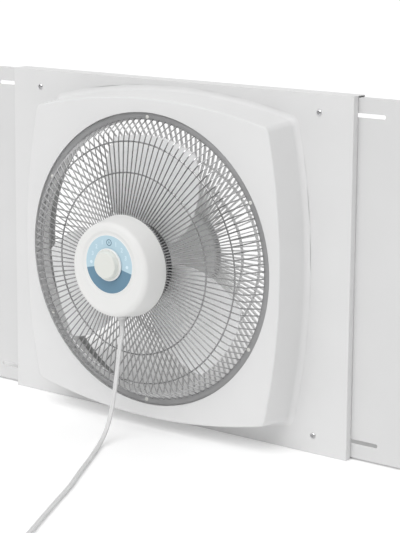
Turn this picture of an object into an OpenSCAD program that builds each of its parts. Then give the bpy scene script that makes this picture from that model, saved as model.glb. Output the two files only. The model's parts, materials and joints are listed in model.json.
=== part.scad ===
// Window fan with sliding side panels, wire guards and a front-mounted motor.
// Millimetres. +X is to the right seen from the front, the front faces -Y, +Z is up.
// The origin is the middle of the bottom flange's underside, where the fan sits on the sill.
// Inside fan_axis() z is the distance in front of the panel's face, y is up and x is right.

/* [Panel] */
// Width of the sheet-metal body
body_w = 686; // [640:1:740]
// Height of the body
body_h = 569; // [545:1:620]
// Depth of the top and bottom flanges
flange_d = 32; // [28:0.5:45]
// Sheet thickness of the body
sheet_t = 1.2; // [0.8:0.1:2]
// Depth of the two side lips
side_lip = 13; // [8:0.5:13.5]
// Height of the lips behind the flanges
rear_lip = 10; // [6:0.5:16]

/* [Bezel] */
// Height of the bezel in front of the panel
bezel_h = 66; // [55:0.5:75]
// Distance of the round opening from the body's top and bottom edges
opening_edge = 45; // [42:0.5:52]
// Width of the bezel's front beside the opening
bezel_side = 18.5; // [14:0.5:30]
// Width of the bezel's front above and below the opening
bezel_top = 22.5; // [18:0.5:28]
// How far the side edges bow out
bow_x = 26; // [18:0.5:40]
// How far the top and bottom edges bow out
bow_y = 28; // [18:0.5:36]
// How much wider the walls stand at the panel
bezel_draft = 5; // [1:0.5:10]
// Width of the cove at the foot of the walls
cove = 9; // [4:0.5:12]
// Wall of the bezel
bezel_t = 2.5; // [1.5:0.1:4]
// Depth of the rolled edge of the opening
lip_h = 4.5; // [3:0.1:8]

/* [Shroud] */
// How much smaller the shroud's inner radius is than the opening's
throat_in = 13; // [12.6:0.1:16]
// Wall of the shroud
shroud_t = 1.6; // [1:0.1:2.5]
// Distance of the shroud's rear edge in front of the panel
throat_f = 44; // [38:1:50]
// Distance of the panel's round hole inside the bezel's side walls
hole_in = 3.5; // [2:0.5:10]

/* [Front guard] */
// Number of radial wires
wires = 120; // [60:12:144]
// Thickness of a radial wire
wire_d = 2; // [1.5:0.1:2.6]
// Thickness of a ring
ring_d = 3; // [2.4:0.1:4]
// Distance of the wires' turn inside the rim band
turn_in = 14.5; // [10:0.5:20]
// Distance of the outer ring wire inside the turn
ring_in = 17; // [10:0.5:30]
// Distance between the two ring wires
ring_gap = 49; // [30:1:60]
// Height of the turn over the bezel
turn_up = 27.5; // [24:0.5:32]
// Rise of the wires from the turn to the outer ring
rise_2 = 5.3; // [3:0.1:8]
// Rise from the outer ring to the inner ring
rise_1 = 7.2; // [4:0.1:10]
// Rise from the inner ring to the hub cover
rise_0 = 13; // [8:0.1:18]
// Width of the flat rim band
band_w = 11.7; // [10.5:0.1:13]
// Thickness of the rim band
band_t = 1.6; // [1:0.1:2]
// Inner radius of the motor plate
plate_in = 45; // [40:0.5:50]
// Thickness of the motor plate
plate_t = 1.7; // [1.2:0.1:2.5]

/* [Rear guard] */
// Number of radial ribs behind
rear_ribs = 72; // [48:6:96]
// Thickness of a rib and of the rings
rib_t = 2; // [1.4:0.1:2.6]
// Depth of a rib and of the rings
rib_d = 6.5; // [4:0.5:8]
// Distance of the rear guard's back in front of the body's rear
rear_in = 1; // [0.6:0.1:3]
// Distance of the rear guard's rim outside the panel's hole
rear_ring_out = 2; // [1.5:0.5:6]
// Radius where the ribs turn forward to the rim
rear_turn_r = 160; // [150:1:172]
// Radius of the rear guard's middle ring
rear_mid_r = 124; // [100:1:135]
// Radius of the plate in the middle of the rear guard
rear_plate_r = 80; // [60:1:84]

/* [Motor] */
// Radius of the motor housing
motor_r = 69; // [64:0.5:72]
// Length of the motor housing
motor_l = 31.5; // [30:0.5:33]
// Wall of the motor housing
motor_t = 1.5; // [1:0.1:2.5]
// Radius of the shaft
shaft_r = 4; // [3:0.1:5]
// Radius of the rotor core
core_r = 30; // [26:0.5:34]
// Air gap between the rotor core and the stator
air_gap = 0.5; // [0.3:0.05:0.8]
// Running clearance of the shaft in its bearings
bearing_gap = 0.04; // [0.02:0.01:0.08]

/* [Fan blade] */
// Number of blades
blades = 3; // [2:1:4]
// Gap between the blade tips and the throat
tip_gap = 22.5; // [16:0.5:30]
// Thickness of a blade
blade_t = 2.2; // [1.5:0.1:3]
// Radius of the blade hub
blade_hub_r = 42; // [36:0.5:50]
// Length of the blade hub
blade_hub_l = 26; // [22:0.5:32]
// Camber radius of the blades
camber_r = 560; // [480:5:700]
// Distance of the blades' low line behind the front of their hub
blade_low = 17.8; // [16:0.1:24]
// Lean of the camber towards the tip, in degrees
lean = 8; // [0:0.5:12]

/* [Hub cover] */
// Radius of the hub cover at its rim
hub_r = 82; // [81:0.5:83.5]
// Height of the hub cover
hub_h = 42; // [40:0.5:48]
// How far the hub cover narrows to the front
hub_taper = 6; // [3:0.5:9]
// Rounding of the hub cover's front edge
hub_round = 10; // [6:0.5:12]
// Wall of the hub cover
hub_t = 2.5; // [1.8:0.1:3]
// Height of the dial's centre over the fan axis
dial_up = 8.8; // [4:0.1:10]
// Radius of the dial plate
dial_r = 46.9; // [42:0.1:49]
// Depth of the dial's recess
recess_d = 2; // [1:0.1:2.3]
// Thickness of the dial plate
dial_t = 0.5; // [0.3:0.1:0.8]

/* [Knob] */
// Radius of the knob's skirt
skirt_r = 26; // [24:0.5:28]
// Radius of the knob's face
knob_r = 20.4; // [18:0.1:22]
// Height of the knob
knob_h = 11.5; // [10:0.5:16]
// Thickness of the knob's skirt
skirt_t = 3.5; // [2:0.1:4.5]
// Gap between the knob and the dial plate
knob_gap = 0.8; // [0.4:0.1:1.5]
// Radius of the switch shaft
stem_r = 3; // [2.5:0.1:3.5]

/* [Side panels] */
// How far each side panel slides
travel = 105; // [80:1:110]
// Length of a side panel's arms past the slots
arm_end = 20; // [12:0.5:24]
// Thickness of a side panel
side_t = 2; // [1.5:0.1:3]
// Distance of a side panel's edge flanges in front of the body's rear
side_back = 2; // [1:0.5:6]
// Gap between a side panel and the side lip
side_gap = 1; // [0.5:0.1:1.5]
// Gap above and below a side panel
side_play = 2; // [1:0.1:4]
// Clearance of a side panel's arc round the rear guard
arc_gap = 8; // [6:0.5:12]
// Height of the slots
slot_h = 6.5; // [6:0.1:8]
// Distance of the slots from the body's top and bottom edges
slot_edge = 29.5; // [26:0.5:34]
// Distance of the corner screws from the body's sides
screw_in = 61; // [54:0.5:66]
// Radius of the corner screws
screw_r = 2.5; // [2:0.1:2.8]

/* [Cord] */
// Diameter of the cord
cord_d = 7; // [6:0.1:7.5]
// Height of the cord's exit over the hub cover's rim
cord_up = 8.5; // [7:0.1:14]
// Length of the strain relief outside the hub cover
relief_l = 13; // [10:0.5:18]
// Loops of the coil on each layer
coil_turns = 3; // [2:1:5]
// Smallest radius of the coil
coil_r = 25; // [22:0.5:30]
// Free space between neighbouring turns
coil_gap = 1; // [0.6:0.1:2]
// Length of the plug's body
plug_l = 28; // [24:0.5:34]
// Width of the plug's body
plug_w = 26; // [22:0.5:30]
// Height of the plug's body
plug_h = 21; // [16:0.5:21]

/* [Hidden] */
$fn = 96;
fine = 180;
eps = 0.01;
weld = 0.2;     // overlap of welded wires
rub = 0.2;      // clearance of sliding pieces
zc = body_h/2;
face_y = -flange_d/2;
opening_r = zc - opening_edge;
bezel_cx = opening_r + bezel_side - bow_x;   // half width at the bezel's corners
bezel_cy = opening_r + bezel_top - bow_y;    // half height at the bezel's corners
throat_r = opening_r - throat_in;
blade_r = throat_r - tip_gap;
hole_r = bezel_cx + bow_x - bezel_t - hole_in;
lip_f = bezel_h - lip_h;            // back of the opening's rolled edge, where the shroud seats
band_r = opening_r - 0.3;           // outer radius of the rim band
band_in = band_r - band_w;
turn_r = band_in - turn_in;         // where the wires turn back to the rim
ring2_r = turn_r - ring_in;
ring1_r = ring2_r - ring_gap;
guard_f3 = bezel_h + turn_up;       // distances of the wires in front of the panel
guard_f2 = guard_f3 + rise_2;
guard_f1 = guard_f2 + rise_1;
guard_f0 = guard_f1 + rise_0;
rear_rim_r = hole_r + rear_ring_out;
guard_n = 6;                        // screws that hold each guard
fix_r = 1.7;                        // thread, head and length of those screws
fix_head = 3.2;
fix_l = 10;
guard_screw_r = band_in + 4.5;
pilot_r = fix_r + 0.2;
plate_r = hub_r - 0.5;
plate_b = guard_f0 - wire_d - plate_t;   // back of the motor plate, where the motor seats
motor_b = plate_b - motor_l;             // rear end of the motor housing
bolt_r = motor_r - 9;                     // bolts that hold the motor
bear_r = 8;
bear_l = 7;
stator_l = 18;
stator_m = (plate_b + motor_b)/2;        // middle of the stator
hub_top = motor_b - 2;                   // front of the blade hub
blade_f = hub_top - blade_low;
cord_f = guard_f0 + cord_up;
face_f = guard_f0 + hub_h;               // front of the hub cover
floor_f = face_f - recess_d;             // floor of the dial's recess
in_f = floor_f - hub_t;                  // inner face of the hub cover's front
rear_screw_r = rear_rim_r + band_w - 4.5;    // screws that hold the rear guard
knob_f = floor_f + dial_t + knob_gap;
side_f = -side_lip - side_gap;           // front face of the side panels
side_d = flange_d + side_f - side_back;  // depth of their edge flanges
screw_x = body_w/2 - screw_in;
slot_z = zc - slot_edge;
in_x = screw_x - arm_end;                // inner end of the side panels' arms, pulled out
out_x = body_w/2 + travel;               // outer edge, which is flush with the body pushed in
side_w = out_x - in_x;
slot_in = screw_x;
slot_out = screw_x + travel;
rear_f = rear_in - flange_d + rib_d;     // front of the rear guard's flat part
rear_end = -sheet_t - band_t/2;          // where the ribs end, inside the rim
rib_line = [[rear_plate_r - 8, rear_f], [rear_turn_r, rear_f], [rear_rim_r + 1.5, rear_end],
  [rear_rim_r + 8, rear_end], [rear_turn_r, rear_f - rib_d], [rear_plate_r - 8, rear_f - rib_d]];
arc_r = rear_rim_r + 8 + arc_gap + (side_f - rear_end)*(rear_rim_r + 8 - rear_turn_r)/(rear_end - rear_f + rib_d);
cord_r = cord_d/2;
pitch = cord_d + coil_gap;
relief_z = zc - hub_r - relief_l;        // lower end of the strain relief
cord_y = face_y - cord_f;
low = cord_r + 0.75;                     // height of the cord's centre on the floor
// The cord's fall and its way over the floor: x, y from the exit, share of the exit's height
fall = [[-3, -0.5, 0.834], [-5.5, -2.5, 0.686], [-8.5, -4.5, 0.52], [-11.5, -8, 0.345], [-11.5, -14.5, 0.228],
  [-9.5, -25, 0.142], [-6.5, -38.5, 0.072], [-1, -55, 0.034]];
way = [[7.5, -73], [18, -93.5], [30, -117], [57, -172], [86, -229], [111, -286], [136, -342], [161, -397],
  [179, -437], [189.5, -464], [194.5, -482], [196, -494]];
route = concat([[0, cord_y, relief_z], [0, cord_y, relief_z - 14]],
  [for (q = fall) [q[0], cord_y + q[1], q[2]*relief_z]], [for (q = way) [q[0], cord_y + q[1], low]]);
coil_at = [196, cord_y - 494];           // where the cord runs into the coil, heading to -Y
lead_l = 50;
coil_out = 0.25;                         // the coil's end runs on past the start, in turns
boot_l = 12;

module fan_axis() translate([0, face_y, zc]) rotate([90, 0, 0]) children();
module fan_disc(r, f0, f1) translate([0, 0, f0]) cylinder(r = r, h = f1 - f0);
module fan_ring(r0, r1, f0, f1) difference() {
  fan_disc(r1, f0, f1);
  fan_disc(r0, f0 - 1, f1 + 1);
}
module around(n, a0 = 0) for (i = [0:n - 1]) rotate(a0 + i*360/n) children();
module rrect(w, h, r) {
  square([w - 2*r, h], center = true);
  square([w, h - 2*r], center = true);
  for (x = [-1, 1], y = [-1, 1]) translate([x*(w/2 - r), y*(h/2 - r)]) circle(r, $fn = 32);
}

// Body: a folded sheet with flanges above and below and shallow side lips
module main_panel() color("white") difference() {
  union() {
    rotate([90, 0, 90]) translate([0, 0, -body_w/2]) linear_extrude(body_w) difference() {
      translate([-flange_d/2, 0]) square([flange_d, body_h]);
      translate([-flange_d/2 + sheet_t, sheet_t])
        square([flange_d - 2*sheet_t, body_h - 2*sheet_t]);
      translate([-flange_d/2 + sheet_t, rear_lip]) square([flange_d, body_h - 2*rear_lip]);
    }
    for (s = [-1, 1]) translate([s*(body_w/2 - sheet_t/2), face_y + side_lip/2, zc])
      cube([sheet_t, side_lip, body_h - 2*sheet_t + weld], center = true);
  }
  fan_axis() {
    fan_disc(hole_r, -sheet_t - 1, 1, $fn = fine);
    around(4, 45) translate([rear_screw_r, 0, -sheet_t - 1]) cylinder(r = pilot_r, h = sheet_t + 2, $fn = 24);
    for (x = [-1, 1], y = [-1, 1]) if (x + y > -2)
      translate([x*screw_x, y*slot_z, -sheet_t - 1]) cylinder(r = screw_r + 0.1, h = sheet_t + 2, $fn = 32);
  }
}

// One bowed wall: a revolved profile of large radius; p lists [offset outwards, distance in front]
function bow_r(c, b) = (c*c + b*b)/(2*b);
module bowed(mid, r, p) translate([mid - r, 0, 0]) rotate_extrude($fn = 360)
  polygon(concat([[0, p[0][1]]], [for (q = p) [r + q[0], q[1]]], [[0, p[len(p) - 1][1]]]));
module pillow(p) {
  rx = bow_r(bezel_cy, bow_x);
  ry = bow_r(bezel_cx, bow_y);
  intersection() {
    bowed(bezel_cx + bow_x, rx, p);
    rotate(180) bowed(bezel_cx + bow_x, rx, p);
    rotate(90) bowed(bezel_cy + bow_y, ry, p);
    rotate(-90) bowed(bezel_cy + bow_y, ry, p);
  }
}
function wall(f) = bezel_draft*(bezel_h - f)/bezel_h;
outer_wall = concat([for (a = [0:22.5:90]) [wall(0) + cove*(1 - sin(a)), cove*(1 - cos(a))]],
  [[wall(bezel_h - 3), bezel_h - 3], [-0.9, bezel_h - 0.9], [-3, bezel_h]]);
inner_wall = [[wall(0) - bezel_t, -1], [-bezel_t, bezel_h - bezel_t]];

// Bezel: bowed box with a cove at its foot and a rolled round opening
module bezel() color("white") fan_axis() difference() {
  union() {
    difference() {
      pillow(outer_wall);
      pillow(inner_wall);
    }
    fan_ring(opening_r, opening_r + bezel_t, lip_f, bezel_h - bezel_t + weld, $fn = fine);
  }
  fan_disc(opening_r, 0, bezel_h + 1, $fn = fine);
}

// Shroud: a short ring with a rounded mouth, a flange behind the opening and a rear bead
module shroud() color("whitesmoke") fan_axis() {
  mouth = band_in + 0.5;
  out = throat_r + shroud_t;
  back = 2;
  difference() {
    union() {
      rotate_extrude($fn = fine) polygon([[throat_r, throat_f + 1], [throat_r, lip_f - 6],
        [throat_r + (mouth - throat_r)/3, lip_f - 2.5], [mouth, lip_f],
        [opening_r + bezel_t + 4, lip_f], [opening_r + bezel_t + 4, lip_f - back],
        [out + 3, lip_f - back], [out, lip_f - back - 3], [out, throat_f + 3],
        [out + 2.5, throat_f + 1.5], [out + 2.5, throat_f], [throat_r + 1, throat_f]]);
      around(guard_n, 90) translate([guard_screw_r, 0, lip_f - fix_l - 2])
        cylinder(r = guard_screw_r - throat_r - 1, h = fix_l + 0.5, $fn = 32);
    }
    around(guard_n, 90) translate([guard_screw_r, 0, lip_f - fix_l - 3])
      cylinder(r = pilot_r, h = 2*fix_l, $fn = 24);
  }
}

// A wire's profile: its front line and the same line moved back by the wire's thickness
wire_line = [[hub_r - 16, guard_f0], [hub_r + 2, guard_f0], [ring1_r, guard_f1], [ring2_r, guard_f2],
  [turn_r, guard_f3], [band_in + 1.6, lip_f + weld]];
function unit(v) = v/norm(v);
function left(v) = [-v[1], v[0]];
function miter(p, i, t) = let (a = unit(p[i] - p[max(i - 1, 0)]), b = unit(p[min(i + 1, len(p) - 1)] - p[i]),
  u = i == 0 ? b : a, v = i == len(p) - 1 ? a : b, m = unit(left(u) + left(v)))
  p[i] - m*t/(m*left(u));
function back_line(p, t) = let (n = len(p) - 1, q = [for (i = [0:n]) miter(p, i, t)], d = q[n] - q[n - 1])
  [for (i = [0:n]) i < n ? q[i] : q[n] + d*((p[n][1] - q[n][1])/d[1])];
module spoke(p, t) rotate([90, 0, 0]) translate([0, 0, -t/2]) linear_extrude(t) {
  q = back_line(p, t);
  polygon(concat(p, [for (i = [len(p) - 1:-1:0]) q[i]]));
}

// Front guard: radial wires welded to ring wires, a flat rim band and the motor plate
module front_guard() color("silver") fan_axis() {
  around(wires) spoke(wire_line, wire_d);
  for (g = [[ring1_r, guard_f1], [ring2_r, guard_f2]]) rotate_extrude($fn = fine)
    translate([g[0] - ring_d/2, g[1] - wire_d - ring_d + weld]) square(ring_d);
  difference() {
    fan_ring(band_in, band_r, lip_f, lip_f + band_t, $fn = fine);
    around(guard_n, 90) translate([guard_screw_r, 0, lip_f - 1])
      cylinder(r = fix_r + 0.4, h = band_t + 2, $fn = 24);
  }
  difference() {
    fan_ring(plate_in, plate_r, plate_b, guard_f0 - wire_d + weld);
    around(4, 45) translate([bolt_r, 0, plate_b - 1]) cylinder(r = 2.3, h = 4, $fn = 24);
  }
}

// Six small screws on the rim band
module guard_screws() color("ivory") fan_axis() around(guard_n, 90) translate([guard_screw_r, 0, lip_f]) {
  translate([0, 0, band_t]) cylinder(r1 = fix_head, r2 = 0.75*fix_head, h = 0.6*fix_head, $fn = 32);
  translate([0, 0, -fix_l]) cylinder(r = fix_r, h = fix_l + band_t + eps, $fn = 24);
}

// Rear guard: deep ribs that run flat and then turn forward to a flat rim, two rings and a middle plate
module rear_guard() color("whitesmoke") fan_axis() {
  b = rear_f - rib_d;
  around(rear_ribs, 45 + 180/rear_ribs) rotate([90, 0, 0]) translate([0, 0, -rib_t/2]) linear_extrude(rib_t)
    polygon(rib_line);
  for (r = [rear_mid_r, rear_turn_r - 3]) fan_ring(r - rib_t/2, r + rib_t/2, b + 0.3, rear_f - 0.3, $fn = fine);
  fan_disc(rear_plate_r, b + 0.3, b + 2.3);
  difference() {
    fan_ring(rear_rim_r, rear_rim_r + band_w, -sheet_t - band_t, -sheet_t, $fn = fine);
    around(4, 45) translate([rear_screw_r, 0, -sheet_t - band_t - 1])
      cylinder(r = fix_r + 0.4, h = band_t + 2, $fn = 24);
  }
}
module rear_screws() color("silver") fan_axis() around(4, 45)
  translate([rear_screw_r, 0, -sheet_t - band_t]) {
    translate([0, 0, -fix_head/2]) cylinder(r1 = 0.8*fix_head, r2 = fix_head, h = fix_head/2, $fn = 32);
    translate([0, 0, -eps]) cylinder(r = fix_r, h = sheet_t + band_t + 6, $fn = 24);
  }

// Motor housing: a drum with vents, bearing seats and a bolt circle
module motor_housing() color([0.08, 0.08, 0.09]) fan_axis() difference() {
  union() {
    difference() {
      rotate_extrude() polygon([[0, motor_b], [motor_r - 5, motor_b], [motor_r - 1.5, motor_b + 1.5],
        [motor_r, motor_b + 5], [motor_r, plate_b], [0, plate_b]]);
      fan_disc(motor_r - motor_t, motor_b + 6, plate_b - motor_t);
      fan_disc(motor_r - 6, motor_b + motor_t, motor_b + 7);
    }
    fan_disc(bear_r + 3, plate_b - bear_l, plate_b + 3);
    fan_disc(bear_r + 3, motor_b, motor_b + bear_l + 1);
  }
  fan_disc(bear_r, plate_b - bear_l - 1, plate_b);
  fan_disc(bear_r, motor_b + 1, motor_b + bear_l + 2);
  fan_disc(shaft_r + 0.6, motor_b - 1, plate_b + 5);
  around(16) translate([motor_r - 8, -1.5, motor_b + 9]) cube([12, 3, motor_l - 14]);
  around(12, 15) translate([24, -1.5, motor_b - 1]) cube([motor_r - 34, 3, motor_t + 2]);
  around(4, 45) translate([bolt_r, 0, plate_b - 5]) cylinder(r = 2.3, h = 8, $fn = 24);
}
module motor_bolts() color("silver") fan_axis() around(4, 45) translate([bolt_r, 0, plate_b]) {
  translate([0, 0, -motor_t - 3]) cylinder(r = 4, h = 3, $fn = 6);
  translate([0, 0, -motor_t - eps]) cylinder(r = 2.1, h = motor_t + plate_t + weld + 2*eps, $fn = 24);
  translate([0, 0, plate_t + weld]) cylinder(r = 4, h = 2, $fn = 32);
}
module stator() color("dimgray") fan_axis() difference() {
  fan_disc(motor_r - motor_t, stator_m - stator_l/2, stator_m + stator_l/2);
  fan_disc(core_r + air_gap, stator_m - stator_l, stator_m + stator_l);
  around(8) translate([core_r - 2, -2, stator_m - stator_l]) cube([14, 4, 2*stator_l]);
  around(8, 22.5) translate([core_r + 17, 0, stator_m - stator_l]) cylinder(r = 8, h = 2*stator_l, $fn = 32);
}
module windings() color("chocolate") fan_axis() for (s = [-1, 1])
  translate([0, 0, stator_m + s*(stator_l/2 + 1.5)])
    rotate_extrude() translate([core_r + 17, 0]) square([16, 3], center = true);
module front_bearing() color("darkgoldenrod") fan_axis()
  fan_ring(shaft_r + bearing_gap, bear_r, plate_b - bear_l, plate_b);
module rear_bearing() color("darkgoldenrod") fan_axis()
  fan_ring(shaft_r + bearing_gap, bear_r, motor_b + 1, motor_b + 1 + bear_l);
module rotor_core() color("gray") fan_axis()
  fan_ring(shaft_r, core_r, stator_m - stator_l/2 + 2, stator_m + stator_l/2 - 2);
module motor_shaft() color("lightgray") fan_axis()
  fan_disc(shaft_r, hub_top - blade_hub_l - 10, plate_b + 8);

// Blade outline from the front: a tip arc, a bowed trailing edge and a bowed leading edge
lead_c = [60, 140];
lead_r = 127.5;
trail_c = [-30, 135];
trail_r = 133.5;
module blade_outline() intersection() {
  circle(blade_r, $fn = fine);
  translate(trail_c) circle(trail_r, $fn = fine);
  translate(lead_c) circle(lead_r, $fn = fine);
}
// Fan blade: cambered paddles cut from a leaning cylinder shell, on a cup with a bored boss
module fan_blade() color("gainsboro") fan_axis() {
  low_x = 93;
  mid_y = 120;
  around(blades) difference() {
    intersection() {
      translate([0, 0, blade_f - blade_r/2]) linear_extrude(blade_r) blade_outline();
      translate([low_x, mid_y, blade_f + camber_r]) rotate(lean) rotate([90, 0, 0]) difference() {
        cylinder(r = camber_r + blade_t, h = 3*blade_r, center = true, $fn = 720);
        cylinder(r = camber_r, h = 4*blade_r, center = true, $fn = 720);
      }
    }
    fan_disc(blade_hub_r - 2, hub_top - blade_hub_l - 20, hub_top + 20);
  }
  fan_ring(blade_hub_r - 3, blade_hub_r, hub_top - blade_hub_l, hub_top);
  fan_ring(shaft_r, blade_hub_r - 2, hub_top - 3, hub_top);
  fan_ring(shaft_r, 11, hub_top - blade_hub_l, hub_top);
  around(6, 15) translate([10, -1, hub_top - blade_hub_l + 4])
    cube([blade_hub_r - 12, 2, blade_hub_l - 4 - eps]);
}
module blade_nut() color("silver") fan_axis() difference() {
  translate([0, 0, hub_top - blade_hub_l - 6]) cylinder(r = 8, h = 6, $fn = 6);
  fan_disc(shaft_r, hub_top - blade_hub_l - 7, hub_top);
}

// Hub cover: a drafted, rounded cup with a shallow recess for the dial
module hub_cover() color("white") fan_axis() difference() {
  cr = hub_r - hub_taper - hub_round;
  rotate_extrude() difference() {
    polygon(concat([[0, guard_f0], [hub_r, guard_f0]],
      [for (a = [0:15:90]) [cr + hub_round*cos(a), face_f - hub_round + hub_round*sin(a)]], [[0, face_f]]));
    polygon(concat([[-1, guard_f0 - 1], [hub_r - hub_t, guard_f0 - 1], [hub_r - hub_t, guard_f0]],
      [for (a = [0:30:90]) [cr - hub_t + hub_round*cos(a), in_f - hub_round + hub_round*sin(a)]],
      [[-1, in_f]]));
  }
  translate([0, dial_up, floor_f]) cylinder(r1 = dial_r + 3, r2 = dial_r + 7, h = recess_d + eps);
  translate([0, dial_up, in_f - 1]) cylinder(r = 5.2, h = hub_t + 2, $fn = 48);
  translate([0, 0, cord_f]) rotate([90, 0, 0]) cylinder(r = cord_r + 2.75, h = hub_r + 5, $fn = 48);
}
module dial_plate() color("lightblue") fan_axis() translate([0, dial_up, 0])
  fan_ring(5.2, dial_r, floor_f, floor_f + dial_t);
module rotary_switch() color("dimgray") fan_axis() translate([0, dial_up, 0]) difference() {
  union() {
    translate([0, 0, in_f - 15]) linear_extrude(15) rrect(28, 28, 3);
    fan_disc(5, in_f - eps, floor_f, $fn = 48);
    for (x = [-9, -3, 3, 9]) translate([x - 1.5, -6, in_f - 20]) cube([3, 0.8, 5 + eps]);
  }
  fan_disc(stem_r + 0.05, in_f - 11, floor_f + 1, $fn = 48);
}
module capacitor() color("black") fan_axis()
  translate([-(plate_in + bear_r + 3)/2 + 1, 0, plate_b]) linear_extrude(19) rrect(24, 30, 3);

// Knob: a skirt, a tapered grip and a bore for the switch shaft
module control_knob() color("ivory") fan_axis() translate([0, dial_up, 0]) difference() {
  rotate_extrude() polygon([[0, knob_f], [skirt_r, knob_f], [skirt_r, knob_f + skirt_t - 1],
    [skirt_r - 1, knob_f + skirt_t], [knob_r + 2.6, knob_f + skirt_t],
    [knob_r + 0.6, knob_f + knob_h - 1.2], [knob_r - 0.8, knob_f + knob_h], [0, knob_f + knob_h]]);
  fan_disc(stem_r, knob_f - 1, knob_f + knob_h - 3, $fn = 48);
}
module switch_shaft() color("silver") fan_axis() translate([0, dial_up, 0])
  fan_disc(stem_r, in_f - 10, knob_f + knob_h - 3, $fn = 48);

// Corner fixings: each spacer's neck runs in a side panel's slot
module corners(all) fan_axis() for (x = [-1, 1], y = [-1, 1]) if (all || x + y > -2)
  translate([x*screw_x, y*slot_z, 0]) children();
module corner_screws() color("silver") corners(false) {
  cylinder(r1 = 5, r2 = 3.6, h = 2.4, $fn = 48);
  translate([0, 0, side_f - side_t - rub - 8])
    cylinder(r = screw_r, h = 8 + rub + side_t - side_f + eps, $fn = 32);
}
module weld_stud() color("silver") fan_axis() translate([-screw_x, -slot_z, side_f - side_t - rub - 8])
  cylinder(r = screw_r, h = 8 + rub + side_t - side_f - sheet_t, $fn = 32);
module corner_spacers() color("white") corners(true) difference() {
  union() {
    translate([0, 0, side_f + rub]) cylinder(r = 6, h = -side_f - rub - sheet_t, $fn = 48);
    translate([0, 0, side_f - side_t - rub]) cylinder(r = slot_h/2 - rub, h = side_t + 3*rub, $fn = 48);
  }
  translate([0, 0, side_f - side_t - 5]) cylinder(r = screw_r, h = side_t - side_f + 10, $fn = 32);
}
module corner_nuts() color("silver") corners(true) translate([0, 0, side_f - side_t - rub]) difference() {
  union() {
    translate([0, 0, -1.2]) cylinder(r = 7, h = 1.2, $fn = 48);
    translate([0, 0, -5.2]) cylinder(r = 4.6, h = 4 + eps, $fn = 6);
  }
  translate([0, 0, -9]) cylinder(r = screw_r, h = 12, $fn = 32);
}

// Side panel: a flanged sheet with an arc round the rear guard and two slots
module side_panel() fan_axis() {
  hh = body_h/2 - sheet_t - side_play;
  difference() {
    union() {
      translate([in_x, -hh, side_f - side_t]) cube([side_w, 2*hh, side_t]);
      for (y = [-hh, hh - side_t]) translate([in_x, y, side_f - side_d]) cube([side_w, side_t, side_d]);
      translate([out_x - side_t, -hh, side_f - side_d]) cube([side_t, 2*hh, side_d]);
      intersection() {
        translate([in_x, -hh, side_f - 6]) cube([side_w - side_t, 2*hh, 6]);
        translate([travel, 0, 0]) fan_ring(arc_r, arc_r + side_t, side_f - 6, side_f, $fn = fine);
      }
    }
    translate([travel, 0, 0]) fan_disc(arc_r, side_f - side_d - 1, side_f + 1, $fn = fine);
    for (y = [-slot_z, slot_z]) translate([0, y, side_f - side_t - 1]) linear_extrude(side_t + 2) {
      translate([slot_in, -slot_h/2]) square([slot_out - slot_in, slot_h]);
      for (x = [slot_in, slot_out]) translate([x, 0]) circle(d = slot_h, $fn = 48);
    }
  }
}
module right_side_panel() color("white") side_panel();
module left_side_panel() color("white") mirror([1, 0, 0]) side_panel();

// Strain relief: a neck in the hub cover's wall and a tapered boot
module strain_relief() color("whitesmoke") translate([0, cord_y, 0]) rotate_extrude($fn = 48) polygon([
  [0, relief_z], [cord_r + 0.9, relief_z], [cord_r + 1.4, relief_z + 3],
  [cord_r + 3.6, relief_z + relief_l - 1], [cord_r + 3.6, relief_z + relief_l + 0.6],
  [cord_r + 2.7, relief_z + relief_l + 0.6], [cord_r + 2.7, relief_z + relief_l + 7],
  [0, relief_z + relief_l + 7]]);

// Sweep of a round tube along points, with a carried frame
function tangent(p, i) = unit(p[min(i + 1, len(p) - 1)] - p[max(i - 1, 0)]);
function across(v, t) = unit(v - (v*t)*t);
function frames(p, v0) = [for (i = 0, v = across(v0, tangent(p, 0)); i < len(p);
  i = i + 1, v = i < len(p) ? across(v, tangent(p, i)) : v) v];
module tube(p, r, sides, v0 = [1, 0, 0]) {
  f = frames(p, v0);
  pts = [for (i = [0:len(p) - 1]) let (t = tangent(p, i), u = f[i], w = cross(t, u))
    for (k = [0:sides - 1]) p[i] + r*(u*cos(360*k/sides) + w*sin(360*k/sides))];
  last = (len(p) - 1)*sides;
  tri = [for (i = [0:len(p) - 2], k = [0:sides - 1]) let (a = i*sides + k, b = i*sides + (k + 1)%sides)
    each [[a, a + sides, b], [b, a + sides, b + sides]]];
  ends = concat([for (k = [1:sides - 2]) [0, k, k + 1]],
    [for (k = [1:sides - 2]) [last, last + k + 1, last + k]]);
  polyhedron(points = pts, faces = concat(tri, ends));
}
function spline(p, n) = concat([for (i = [0:len(p) - 2], k = [0:n - 1]) let (t = k/n,
  a = p[max(i - 1, 0)], b = p[i], c = p[i + 1], d = p[min(i + 2, len(p) - 1)])
  0.5*(2*b + (c - a)*t + (2*a - 5*b + 4*c - d)*t*t + (3*b - a - 3*c + d)*t*t*t)], [p[len(p) - 1]]);
module power_cord() color("white") tube(spline(route, 2), cord_r, 8);

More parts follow.
